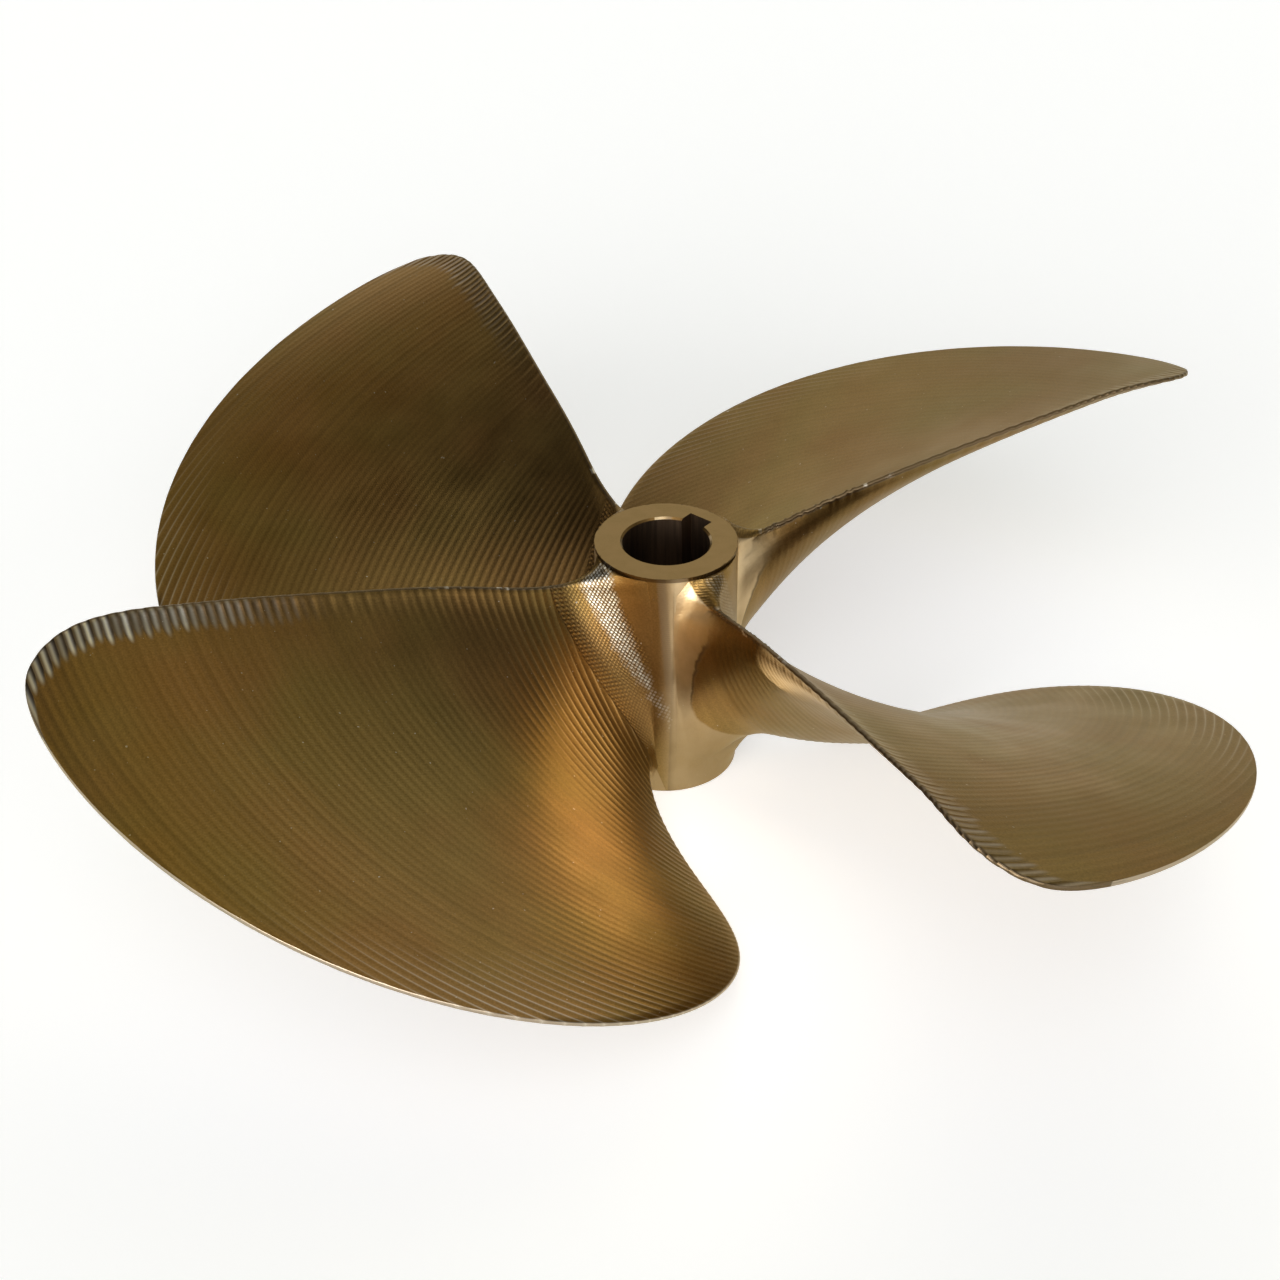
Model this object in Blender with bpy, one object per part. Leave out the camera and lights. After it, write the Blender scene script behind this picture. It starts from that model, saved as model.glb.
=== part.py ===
"""Left-hand four-blade boat propeller, machined all over from one bronze casting.

The shaft axis is +Z. The forward hub face lies on z = 0, and the aft hub face,
where the shaft nut seats, is on top. The pressure faces of the blades look up.
"""

import math

import bmesh
import bpy
import numpy as np
from mathutils import Matrix

# Driving dimensions, in metres and degrees
BLADE_COUNT = 4
TIP_RADIUS = 0.1905
PITCH = 0.368
FIRST_BLADE_AZIMUTH = 27.1

HUB_LENGTH = 0.0762
HUB_FORWARD_RADIUS = 0.0219
HUB_WAIST_RADIUS = 0.0214
HUB_EDGE_ROUND = 0.0004
RING_RADIUS = 0.0211
RING_STEP = 0.0010
FACING_RADIUS = 0.034

BORE_AFT_RADIUS = 0.0129
BORE_TAPER = 1.0 / 16.0
BORE_CHAMFER = 0.0006
KEYWAY_WIDTH = 0.00794
KEYWAY_DEPTH = 0.0038
KEYWAY_AZIMUTH = 51.6

# Blade outline: radius, then the angle from the blade's reference line, in degrees
TRAILING_EDGE = (
    (0.026, -0.6),
    (0.040, 0.1),
    (0.060, -1.1),
    (0.090, -2.2),
    (0.122, -2.75),
    (0.150, -2.9),
    (0.1714, -2.7),
    (0.1846, -0.6),
)
TIP_ANGLE = 6.5
LEADING_EDGE = (
    (0.1846, 25.9),
    (0.1714, 44.5),
    (0.150, 60.1),
    (0.122, 70.8),
    (0.095, 75.1),
    (0.072, 72.8),
    (0.052, 65.2),
    (0.036, 56.7),
    (0.026, 52.0),
)

# Height of the reference line: straight rake, its easing, and the relief near the tip
RAKE_HEIGHT = 0.0631
RAKE_SLOPE = 0.2115
RAKE_EASING = 0.27
TIP_RELIEF_RADIUS = 0.150
TIP_RELIEF = 3.6
TIP_PITCH_RELIEF = 4.0

# Section thickness, measured square to the face
ROOT_THICKNESS = 0.0136
TIP_THICKNESS = 0.0042
EDGE_THICKNESS = 0.0013
BELLY_FULLNESS = 0.7
CUP_WIDTH = 0.008
CUP_HEIGHT = 0.0012
CUP_FADE_LENGTH = 0.040
TIP_THINNING_LENGTH = 0.040

# Root fillets: they run up to a narrow upright strip of bare hub between two blades
FILLET_HEIGHT = 0.0135
FILLET_WIDTH_RANGE = (0.0015, 0.018)
TRAILING_FILLET_WIDTH = 0.008
LEADING_FILLET_WIDTH = 0.014
HUB_STRIP_ANGLE = 61.0
HUB_STRIP_WIDTH = 0.003

# Mesh resolution
ROOT_STATIONS = (0.0185, 0.0213, 0.0217, 0.0225, 0.0239, 0.0261, 0.0295, 0.0349)
OUTER_STATION_COUNT = 21
CUP_POINTS = 3
CHORD_POINTS = 15
CAP_POINTS = 3
HUB_SEGMENTS = 64


def clear_scene():
    for item in list(bpy.data.objects):
        bpy.data.objects.remove(item, do_unlink=True)


def natural_spline(knots, values):
    """Return a function that draws a natural cubic spline through the knots."""
    x = np.array(knots)
    y = np.array(values)
    count = len(x)
    step = np.diff(x)
    system = np.eye(count)
    target = np.zeros(count)
    for i in range(1, count - 1):
        system[i, i - 1:i + 2] = (step[i - 1], 2.0 * (step[i - 1] + step[i]), step[i])
        target[i] = 6.0 * ((y[i + 1] - y[i]) / step[i] - (y[i] - y[i - 1]) / step[i - 1])
    bend = np.linalg.solve(system, target)

    def curve(at):
        i = int(np.clip(np.searchsorted(x, at) - 1, 0, count - 2))
        left = (x[i + 1] - at) / step[i]
        right = (at - x[i]) / step[i]
        sag = (left ** 3 - left) * bend[i] + (right ** 3 - right) * bend[i + 1]
        return left * y[i] + right * y[i + 1] + sag * step[i] ** 2 / 6.0

    return curve


def tip_distance(radius):
    """Measure how far in from the tip a radius is, so that the outline is smooth there."""
    return math.sqrt(max(0.0, 1.0 - radius / TIP_RADIUS))


def outline_curve():
    knots = [-tip_distance(radius) for radius, angle in TRAILING_EDGE]
    angles = [angle for radius, angle in TRAILING_EDGE]
    knots.append(0.0)
    angles.append(TIP_ANGLE)
    knots += [tip_distance(radius) for radius, angle in LEADING_EDGE]
    angles += [angle for radius, angle in LEADING_EDGE]
    return natural_spline(knots, angles)


OUTLINE = outline_curve()


def edge_angles(radius):
    """Give the trailing and leading edge angles at a radius, in radians."""
    first_radius = LEADING_EDGE[-1][0]
    inward = tip_distance(max(radius, first_radius))
    return math.radians(OUTLINE(-inward)), math.radians(OUTLINE(inward))


def rise_per_radian(radius):
    """Height that the face loses for each radian, a little less towards the tip."""
    relief = max(0.0, radius - TIP_RELIEF_RADIUS)
    return PITCH / (2.0 * math.pi) - TIP_PITCH_RELIEF * relief ** 2


def face_height(radius, angle):
    """Height of the helical pressure face."""
    relief = max(0.0, radius - TIP_RELIEF_RADIUS)
    rake = RAKE_HEIGHT + RAKE_SLOPE * radius - RAKE_EASING * radius ** 2 - TIP_RELIEF * relief ** 2
    return rake - rise_per_radian(radius) * angle


def blade_thickness(radius, share):
    """Thickness at a share of the chord; the rim is thin all the way round the tip."""
    outward = min(1.0, radius / TIP_RADIUS)
    middle = ROOT_THICKNESS + (TIP_THICKNESS - ROOT_THICKNESS) * outward
    rim = 1.0 - min(1.0, max(0.0, TIP_RADIUS - radius) / TIP_THINNING_LENGTH)
    belly = max(0.0, 4.0 * share * (1.0 - share)) ** BELLY_FULLNESS * (1.0 - rim ** 2)
    return EDGE_THICKNESS + (middle - EDGE_THICKNESS) * belly


def fillet_share(radius):
    """Part of the full fillet width that is left at a radius, on a quarter ellipse."""
    climb = min(1.0, max(0.0, (radius - HUB_WAIST_RADIUS) / FILLET_HEIGHT))
    return 1.0 - math.sqrt(1.0 - (1.0 - climb) ** 2)


def fillet_widths(angle, thickness):
    """Full fillet widths on the pressure face and on the suction back."""
    slope = math.atan2(rise_per_radian(HUB_WAIST_RADIUS), HUB_WAIST_RADIUS)
    reach = HUB_WAIST_RADIUS * math.sin(slope)
    ahead = math.radians(HUB_STRIP_ANGLE) - angle
    behind = 2.0 * math.pi / BLADE_COUNT - ahead
    pressure = reach * ahead - HUB_STRIP_WIDTH / 2.0
    suction = reach * behind - HUB_STRIP_WIDTH / 2.0 - thickness
    low, high = FILLET_WIDTH_RANGE
    return min(high, max(low, pressure)), min(high, max(low, suction))


def chord_shares(chord):
    """Points along the chord from the trailing edge: close over the cup, then even."""
    cup_share = min(CUP_WIDTH / chord, 0.3)
    shares = [cup_share * i / CUP_POINTS for i in range(CUP_POINTS)]
    shares += [cup_share + (1.0 - cup_share) * i / CHORD_POINTS for i in range(CHORD_POINTS + 1)]
    return shares


def edge_cap(start, end, outward):
    """Points on the half ellipse that closes a section from one side to the other."""
    turns = [math.pi * i / (CAP_POINTS + 1) for i in range(1, CAP_POINTS + 1)]
    centre = (start + end) / 2.0
    arm = (start - end) / 2.0
    return [centre + arm * math.cos(turn) + outward * math.sin(turn) for turn in turns]


def section_loop(radius):
    """One closed section on the cylinder of this radius, as points in space."""
    trailing, leading = edge_angles(radius)
    slope = math.atan2(rise_per_radian(radius), radius)
    along = np.array((math.cos(slope), -math.sin(slope)))
    normal = np.array((math.sin(slope), math.cos(slope)))
    chord = max((leading - trailing) * radius / math.cos(slope), 1e-6)
    swell = fillet_share(radius)
    cup = CUP_HEIGHT * min(1.0, (TIP_RADIUS - radius) / CUP_FADE_LENGTH)

    upper = []
    lower = []
    for share in chord_shares(chord):
        angle = trailing + (leading - trailing) * share
        thickness = blade_thickness(radius, share)
        pressure, suction = fillet_widths(angle, thickness)
        curl = cup * max(0.0, 1.0 - share * chord / CUP_WIDTH) ** 2
        face = np.array((radius * angle, face_height(radius, angle))) + normal * curl
        upper.append(face + normal * pressure * swell)
        lower.append(face - normal * (thickness + suction * swell))

    edge = EDGE_THICKNESS / 2.0
    loop = upper + edge_cap(upper[-1], lower[-1], along * (edge + LEADING_FILLET_WIDTH * swell))
    loop += lower[::-1] + edge_cap(lower[0], upper[0], -along * (edge + TRAILING_FILLET_WIDTH * swell))
    return [
        (radius * math.cos(p[0] / radius), radius * math.sin(p[0] / radius), max(p[1], HUB_EDGE_ROUND))
        for p in loop
    ]


def station_radii():
    outer_start = tip_distance(ROOT_STATIONS[-1])
    radii = list(ROOT_STATIONS)
    for i in range(1, OUTER_STATION_COUNT + 1):
        inward = outer_start * (1.0 - i / OUTER_STATION_COUNT)
        radii.append(TIP_RADIUS * (1.0 - inward ** 2))
    return radii


def new_object(name, form, material=None):
    mesh = bpy.data.meshes.new(name)
    form.to_mesh(mesh)
    form.free()
    item = bpy.data.objects.new(name, mesh)
    bpy.context.scene.collection.objects.link(item)
    if material:
        mesh.materials.append(material)
    return item


def make_guide(item):
    item.hide_render = True
    item.display_type = "WIRE"


def blade_form():
    """Loft the sections into one closed blade that starts inside the hub wall."""
    form = bmesh.new()
    rings = []
    for radius in station_radii():
        rings.append([form.verts.new(point) for point in section_loop(radius)])
    size = len(rings[0])
    for inner, outer in zip(rings, rings[1:]):
        for i in range(size):
            j = (i + 1) % size
            form.faces.new((inner[i], inner[j], outer[j], outer[i]))
    form.faces.new(rings[0])
    form.faces.new(rings[-1])
    bmesh.ops.triangulate(form, faces=form.faces[:])
    bmesh.ops.recalc_face_normals(form, faces=form.faces[:])
    return form


def turned_form(profile, segments=HUB_SEGMENTS):
    """Spin a half profile that starts and ends on the axis."""
    form = bmesh.new()
    points = [form.verts.new((radius, 0.0, height)) for radius, height in profile]
    edges = [form.edges.new(pair) for pair in zip(points, points[1:])]
    bmesh.ops.spin(
        form,
        geom=points + edges,
        cent=(0.0, 0.0, 0.0),
        axis=(0.0, 0.0, 1.0),
        angle=2.0 * math.pi,
        steps=segments,
        use_merge=True,
    )
    bmesh.ops.remove_doubles(form, verts=form.verts[:], dist=1e-6)
    bmesh.ops.recalc_face_normals(form, faces=form.faces[:])
    return form


def hub_profile():
    """Barrel from the forward face up to the step below the raised ring."""
    shoulder = HUB_LENGTH - RING_STEP
    return [
        (0.0, 0.0),
        (HUB_FORWARD_RADIUS - HUB_EDGE_ROUND, 0.0),
        (HUB_FORWARD_RADIUS, HUB_EDGE_ROUND),
        (HUB_WAIST_RADIUS, HUB_LENGTH / 2.0),
        (RING_RADIUS, shoulder),
        (RING_RADIUS, HUB_LENGTH),
        (0.0, HUB_LENGTH),
    ]


def facing_profile():
    """What the facing cut takes away above the hub, ring left standing."""
    top = HUB_LENGTH + 2.0 * FILLET_HEIGHT
    shoulder = HUB_LENGTH - RING_STEP
    return [
        (0.0, HUB_LENGTH),
        (RING_RADIUS, HUB_LENGTH),
        (RING_RADIUS, shoulder),
        (FACING_RADIUS, shoulder),
        (FACING_RADIUS, top),
        (0.0, top),
    ]


def bore_radius(height):
    return BORE_AFT_RADIUS + (HUB_LENGTH - height) * BORE_TAPER / 2.0


def bore_profile():
    """Tapered bore with a small chamfer at its aft end."""
    margin = 0.002
    wide = bore_radius(HUB_LENGTH) + BORE_CHAMFER
    return [
        (0.0, -margin),
        (bore_radius(-margin), -margin),
        (bore_radius(HUB_LENGTH - BORE_CHAMFER), HUB_LENGTH - BORE_CHAMFER),
        (wide, HUB_LENGTH),
        (wide, HUB_LENGTH + margin),
        (0.0, HUB_LENGTH + margin),
    ]


def keyway_form():
    """Slot whose floor stays parallel to the taper of the bore."""
    margin = 0.003
    form = bmesh.new()
    corners = []
    for height in (-margin, HUB_LENGTH + margin):
        depth = bore_radius(height) + KEYWAY_DEPTH
        for reach in (0.0, depth):
            for side in (-KEYWAY_WIDTH / 2.0, KEYWAY_WIDTH / 2.0):
                corners.append((reach, side, height))
    for corner in corners:
        form.verts.new(corner)
    bmesh.ops.convex_hull(form, input=form.verts[:])
    bmesh.ops.recalc_face_normals(form, faces=form.faces[:])
    form.transform(Matrix.Rotation(math.radians(KEYWAY_AZIMUTH), 4, "Z"))
    return form


def bronze_material():
    material = bpy.data.materials.new("machined_bronze")
    material.use_nodes = True
    shader = material.node_tree.nodes["Principled BSDF"]
    shader.inputs["Base Color"].default_value = (0.42, 0.27, 0.12, 1.0)
    shader.inputs["Metallic"].default_value = 1.0
    shader.inputs["Roughness"].default_value = 0.38
    material.diffuse_color = (0.42, 0.27, 0.12, 1.0)
    return material


def add_boolean(item, operation, other):
    change = item.modifiers.new(f"{operation.lower()}_{other.name}", "BOOLEAN")
    change.operation = operation
    change.solver = "EXACT"
    change.object = other


def add_blades(propeller):
    """Join the blades, which share one mesh, to the hub at even spacing."""
    first = new_object("blade_guide_1", blade_form())
    blades = [first]
    for number in range(2, BLADE_COUNT + 1):
        copy = bpy.data.objects.new(f"blade_guide_{number}", first.data)
        bpy.context.scene.collection.objects.link(copy)
        blades.append(copy)
    for number, blade in enumerate(blades):
        turn = FIRST_BLADE_AZIMUTH + 360.0 * number / BLADE_COUNT
        blade.rotation_euler = (0.0, 0.0, math.radians(turn))
        make_guide(blade)
        add_boolean(propeller, "UNION", blade)


def build():
    clear_scene()
    propeller = new_object("propeller", turned_form(hub_profile()), bronze_material())
    add_blades(propeller)
    cutters = (
        ("facing_cutter", turned_form(facing_profile())),
        ("bore_cutter", turned_form(bore_profile())),
        ("keyway_cutter", keyway_form()),
    )
    for name, form in cutters:
        cutter = new_object(name, form)
        make_guide(cutter)
        add_boolean(propeller, "DIFFERENCE", cutter)
    propeller.data.shade_smooth()
    propeller.data.set_sharp_from_angle(angle=math.radians(30.0))


build()
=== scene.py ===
"""Looks of the left-hand four-blade boat propeller: milled bronze under soft studio light.

Lengths are in metres and angles in degrees, in the same frame as the CAD solid.
The shaft axis is +Z, and the pressure faces of the blades look up.
"""

import math
from types import SimpleNamespace

import bmesh
import bpy
import numpy as np
from mathutils import Matrix, Vector

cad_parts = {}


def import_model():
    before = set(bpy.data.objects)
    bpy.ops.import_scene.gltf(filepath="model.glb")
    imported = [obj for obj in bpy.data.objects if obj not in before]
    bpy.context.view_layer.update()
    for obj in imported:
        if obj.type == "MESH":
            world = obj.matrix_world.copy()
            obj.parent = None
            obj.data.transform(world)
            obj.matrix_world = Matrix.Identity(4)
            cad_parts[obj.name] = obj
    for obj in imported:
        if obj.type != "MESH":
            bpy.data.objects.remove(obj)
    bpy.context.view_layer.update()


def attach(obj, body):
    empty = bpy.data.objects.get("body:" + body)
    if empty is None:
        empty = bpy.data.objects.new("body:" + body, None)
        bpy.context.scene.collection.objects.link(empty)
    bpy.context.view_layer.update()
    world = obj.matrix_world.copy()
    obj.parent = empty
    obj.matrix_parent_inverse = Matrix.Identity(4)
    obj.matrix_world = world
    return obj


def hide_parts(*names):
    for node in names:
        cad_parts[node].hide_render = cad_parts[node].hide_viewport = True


# The photograph's camera
CAMERA_PLACE = (0.0, -0.57747, 0.43718)
CAMERA_DOWN = 34.463
CAMERA_YAW = -0.763
CAMERA_ROLL = -0.050
CAMERA_LENS = 65.302
SENSOR_WIDTH = 36.0

# Blade and hub, the same values as the CAD solid
BLADE_COUNT = 4
TIP_RADIUS = 0.1905
PITCH = 0.368
FIRST_BLADE_AZIMUTH = 27.1

HUB_LENGTH = 0.0762
HUB_FORWARD_RADIUS = 0.0219
HUB_WAIST_RADIUS = 0.0214
HUB_EDGE_ROUND = 0.0004
RING_RADIUS = 0.0211
RING_STEP = 0.0010
FACING_RADIUS = 0.034

BORE_AFT_RADIUS = 0.0129
BORE_TAPER = 1.0 / 16.0
BORE_CHAMFER = 0.0006
KEYWAY_WIDTH = 0.00794
KEYWAY_DEPTH = 0.0038
KEYWAY_AZIMUTH = 51.6

TRAILING_EDGE = (
    (0.026, -0.6),
    (0.040, 0.1),
    (0.060, -1.1),
    (0.090, -2.2),
    (0.122, -2.75),
    (0.150, -2.9),
    (0.1714, -2.7),
    (0.1846, -0.6),
)
TIP_ANGLE = 6.5
LEADING_EDGE = (
    (0.1846, 25.9),
    (0.1714, 44.5),
    (0.150, 60.1),
    (0.122, 70.8),
    (0.095, 75.1),
    (0.072, 72.8),
    (0.052, 65.2),
    (0.036, 56.7),
    (0.026, 52.0),
)

RAKE_HEIGHT = 0.0631
RAKE_SLOPE = 0.2115
RAKE_EASING = 0.27
TIP_RELIEF_RADIUS = 0.150
TIP_RELIEF = 3.6
TIP_PITCH_RELIEF = 4.0

ROOT_THICKNESS = 0.0136
TIP_THICKNESS = 0.0042
EDGE_THICKNESS = 0.0013
BELLY_FULLNESS = 0.7
CUP_WIDTH = 0.008
CUP_HEIGHT = 0.0012
CUP_FADE_LENGTH = 0.040
TIP_THINNING_LENGTH = 0.040

FILLET_HEIGHT = 0.0135
FILLET_WIDTH_RANGE = (0.0015, 0.018)
TRAILING_FILLET_WIDTH = 0.008
LEADING_FILLET_WIDTH = 0.014
HUB_STRIP_ANGLE = 61.0
HUB_STRIP_WIDTH = 0.003

# Tool marks that are real geometry: one pass of the ball cutter, and the ridge it leaves
PASS_WIDTH = 0.00254
ROWS_PER_PASS = 4
RIDGE_HEIGHT = 0.00009
ROOT_RIDGE_GAIN = 0.3
CUP_PAIR_HEIGHT = 0.00009
BURR_RANGE = (0.030, 0.066)
BURR_HEIGHT = 0.0005

# Fine tool marks in the material
CUP_MARK_LENGTH = 0.0075
CUP_MARK_DEPTH = 0.00022
ROOT_BORDER_RADIUS = 0.0385
ROOT_BORDER_SLOPE = -0.00025
SCALE_LENGTH = 0.0016
SCALE_WIDTH = 0.0016
SCALE_DEPTH = 0.00007
COMB_STEP = 0.0013
COMB_DEPTH = 0.00006
FEED_STEP = 0.0009
FEED_DEPTH = 0.000006
ROOT_LINE_DEPTH = 0.00008
GRAIN_DEPTH = 0.00002
RING_MARK_STEP = 0.0004
STRIP_MARK_STEP = 0.0007

# How each blade differs from the others, counted from the first blade
# How strongly each blade gets the painted highlights and the painted shade between the scales, and how
# deep its root lines are
BLADE_FRESHNESS_AND_HIGHLIGHT = (0.1, 0.25, 1.0, 0.2)
# Painted shade that darkens the pressure face near the root of the second and third blades
BLADE_ROOT_PAINTED_SHADE = (1.0, 0.62, 0.64, 1.0)
BLADE_RIDGES = (0.35, 1.0, 1.0, 0.8)
BLADE_BURRS = (1.0, 0.0, 0.0, 0.35)

# Colours of the metal
# Painted shade that darkens the undersides, and painted light that lightens them near the hub
UNDERSIDE_PAINTED_SHADE = 0.80
UNDERSIDE_ROOT_PAINTED_LIGHT = 1.15
BRONZE_RED = (0.240, 0.132, 0.042, 1.0)
BRONZE_OLIVE = (0.222, 0.143, 0.042, 1.0)
BRONZE_DARK = (0.060, 0.032, 0.012, 1.0)
# Pale metal: painted highlights on the crests and on the leading rim, and bright nicks and specks
FRESH_CUT_AND_HIGHLIGHT = (0.72, 0.66, 0.55, 1.0)
# Painted highlight of the silver columns in the cup
CUP_HIGHLIGHT = (0.88, 0.84, 0.77, 1.0)
# Painted light on the pale land of the hub wall, darker low down and lighter high up
LAND_PAINTED_LIGHT_LOW = (0.34, 0.245, 0.120, 1.0)
LAND_PAINTED_LIGHT_HIGH = (0.72, 0.54, 0.31, 1.0)
# Painted golden highlight on the crests near the root
GOLD_CREST_HIGHLIGHT = (0.52, 0.35, 0.15, 1.0)
# Painted silver highlight on the fillet's scales
SILVER_HIGHLIGHT = (0.78, 0.76, 0.66, 1.0)
# Dull metal of the trailing rim, and the painted shade between the cup's columns and between the silver
# scales
DULL_CUT_AND_SHADE = (0.14, 0.10, 0.06, 1.0)
STRIP_BROWN = (0.29, 0.215, 0.13, 1.0)
RING_DARK = (0.235, 0.148, 0.056, 1.0)
RING_LIGHT = (0.290, 0.185, 0.075, 1.0)
EDGE_TINT = (0.92, 0.84, 0.66, 1.0)
BORE_DARK = (0.12, 0.08, 0.05, 1.0)
BORE_LIGHT = (0.20, 0.13, 0.08, 1.0)

# Mesh resolution
FILLET_ROWS = 14
TIP_ROWS = 8
CUP_POINTS = 5
CHORD_POINTS = 28
CAP_POINTS = 5
HUB_SEGMENTS = 192

# Studio: azimuth, elevation and colour times strength of each large soft light
SOFT_LIGHTS = (
    (240.0, 4.0, (9.4, 9.4, 9.4)),
    (270.0, 4.0, (4.3, 4.3, 4.4)),
    (270.0, 54.0, (1.85, 1.85, 1.9)),
    (285.0, 28.0, (0.75, 0.85, 0.95)),
    (120.0, 4.0, (0.85, 0.85, 0.85)),
    (45.0, 28.0, (0.48, 0.50, 0.48)),
    (75.0, 28.0, (0.68, 0.76, 0.88)),
    (105.0, 28.0, (0.45, 0.52, 0.70)),
    (90.0, 54.0, (0.60, 0.46, 0.10)),
    (0.0, 4.0, (0.4, 0.4, 0.4)),
    (0.0, 80.0, (0.22, 0.25, 0.2)),
    (312.0, 16.0, (0.9, 0.88, 0.82)),
)
LIGHT_FOCUS = 14.0
AMBIENT_LIGHT = (0.01, 0.01, 0.01)
CARD_PLACE = (0.020, -0.039, 0.047)
CARD_TARGET = (-0.020, -0.098, 0.027)
CARD_SIZE = (0.034, 0.034)
CARD_WATTS = 0.0095
CARD_COLOUR = (1.0, 0.84, 0.60)
FLOOR_REACH = 6.0
FLOOR_DROP = -0.0002
FLOOR_GLOW = 0.33
# Painted pool of light: the floor glows more under the propeller, where its shadow falls
PAINTED_LIGHT_POOL_GLOW = 0.50
PAINTED_LIGHT_POOL_RANGE = (0.06, 0.26)


def natural_spline(knots, values):
    """Return a function that draws a natural cubic spline through the knots."""
    x = np.array(knots)
    y = np.array(values)
    count = len(x)
    step = np.diff(x)
    system = np.eye(count)
    target = np.zeros(count)
    for i in range(1, count - 1):
        system[i, i - 1:i + 2] = (step[i - 1], 2.0 * (step[i - 1] + step[i]), step[i])
        target[i] = 6.0 * ((y[i + 1] - y[i]) / step[i] - (y[i] - y[i - 1]) / step[i - 1])
    bend = np.linalg.solve(system, target)

    def curve(at):
        i = int(np.clip(np.searchsorted(x, at) - 1, 0, count - 2))
        left = (x[i + 1] - at) / step[i]
        right = (at - x[i]) / step[i]
        sag = (left ** 3 - left) * bend[i] + (right ** 3 - right) * bend[i + 1]
        return left * y[i] + right * y[i + 1] + sag * step[i] ** 2 / 6.0

    return curve


def tip_distance(radius):
    return math.sqrt(max(0.0, 1.0 - radius / TIP_RADIUS))


def outline_curve():
    knots = [-tip_distance(radius) for radius, angle in TRAILING_EDGE]
    angles = [angle for radius, angle in TRAILING_EDGE]
    knots.append(0.0)
    angles.append(TIP_ANGLE)
    knots += [tip_distance(radius) for radius, angle in LEADING_EDGE]
    angles += [angle for radius, angle in LEADING_EDGE]
    return natural_spline(knots, angles)


OUTLINE = outline_curve()


def edge_angles(radius):
    """Trailing and leading edge angles at a radius, in radians."""
    first_radius = LEADING_EDGE[-1][0]
    inward = tip_distance(max(radius, first_radius))
    return math.radians(OUTLINE(-inward)), math.radians(OUTLINE(inward))


def rise_per_radian(radius):
    relief = np.maximum(0.0, radius - TIP_RELIEF_RADIUS)
    return PITCH / (2.0 * math.pi) - TIP_PITCH_RELIEF * relief ** 2


def face_height(radius, angle):
    """Height of the helical pressure face."""
    relief = np.maximum(0.0, radius - TIP_RELIEF_RADIUS)
    rake = RAKE_HEIGHT + RAKE_SLOPE * radius - RAKE_EASING * radius ** 2 - TIP_RELIEF * relief ** 2
    return rake - rise_per_radian(radius) * angle


def blade_thickness(radius, share):
    """Thickness at a share of the chord; the rim is thin all the way round the tip."""
    outward = min(1.0, radius / TIP_RADIUS)
    middle = ROOT_THICKNESS + (TIP_THICKNESS - ROOT_THICKNESS) * outward
    rim = 1.0 - min(1.0, max(0.0, TIP_RADIUS - radius) / TIP_THINNING_LENGTH)
    belly = np.maximum(0.0, 4.0 * share * (1.0 - share)) ** BELLY_FULLNESS * (1.0 - rim ** 2)
    return EDGE_THICKNESS + (middle - EDGE_THICKNESS) * belly


def fillet_share(radius):
    """Part of the full fillet width that is left at a radius, on a quarter ellipse."""
    climb = min(1.0, max(0.0, (radius - HUB_WAIST_RADIUS) / FILLET_HEIGHT))
    return 1.0 - math.sqrt(1.0 - (1.0 - climb) ** 2)


def fillet_widths(angle, thickness):
    """Full fillet widths on the pressure face and on the suction back."""
    slope = math.atan2(rise_per_radian(HUB_WAIST_RADIUS), HUB_WAIST_RADIUS)
    reach = HUB_WAIST_RADIUS * math.sin(slope)
    ahead = math.radians(HUB_STRIP_ANGLE) - angle
    behind = 2.0 * math.pi / BLADE_COUNT - ahead
    pressure = reach * ahead - HUB_STRIP_WIDTH / 2.0
    suction = reach * behind - HUB_STRIP_WIDTH / 2.0 - thickness
    low, high = FILLET_WIDTH_RANGE
    return np.clip(pressure, low, high), np.clip(suction, low, high)


def chord_shares(chord):
    """Points along the chord: close over the cup, even in the middle, closer at the leading edge."""
    cup_share = min(CUP_WIDTH / chord, 0.3)
    cup = [cup_share * i / CUP_POINTS for i in range(CUP_POINTS)]
    even = np.linspace(0.0, 1.0, CHORD_POINTS + 1)
    eased = 0.7 * even + 0.3 * np.sin(even * math.pi / 2.0)
    return np.concatenate((cup, cup_share + (1.0 - cup_share) * eased))


def pass_place(radius):
    """Which tool pass a radius lies in, and how far across it, from 0 to 1."""
    count = (TIP_RADIUS - radius) / PASS_WIDTH
    return math.floor(count + 1e-6), count - math.floor(count + 1e-6)


def ridge(radius):
    """Height of the tool marks over the true face: a ridge between two hollow passes."""
    number, across = pass_place(radius)
    fade = min(1.0, max(0.0, (radius - HUB_WAIST_RADIUS - 0.7 * FILLET_HEIGHT) / 0.006))
    gain = 1.0 + ROOT_RIDGE_GAIN * min(1.0, max(0.0, (0.075 - radius) / 0.025))
    return RIDGE_HEIGHT * gain * (2.0 * across - 1.0) ** 2 * fade


def pair_lift(radius):
    """Every second pass runs a little deeper where the cutter turns at the trailing edge."""
    number, across = pass_place(radius)
    side = 1.0 if number % 2 else -1.0
    fade = min(1.0, max(0.0, (radius - 0.060) / 0.040))
    return CUP_PAIR_HEIGHT * side * math.sin(math.pi * across) * fade


def burr(radius):
    """Ragged metal that the cutter left standing on the trailing edge near the root."""
    low, high = BURR_RANGE
    inside = min(1.0, max(0.0, (radius - low) / 0.004)) * min(1.0, max(0.0, (high - radius) / 0.004))
    uneven = math.sin(radius * 1900.0) + math.sin(radius * 3100.0 + 1.0) + math.sin(radius * 730.0)
    return BURR_HEIGHT * inside * max(0.0, uneven / 3.0) ** 0.5


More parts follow.
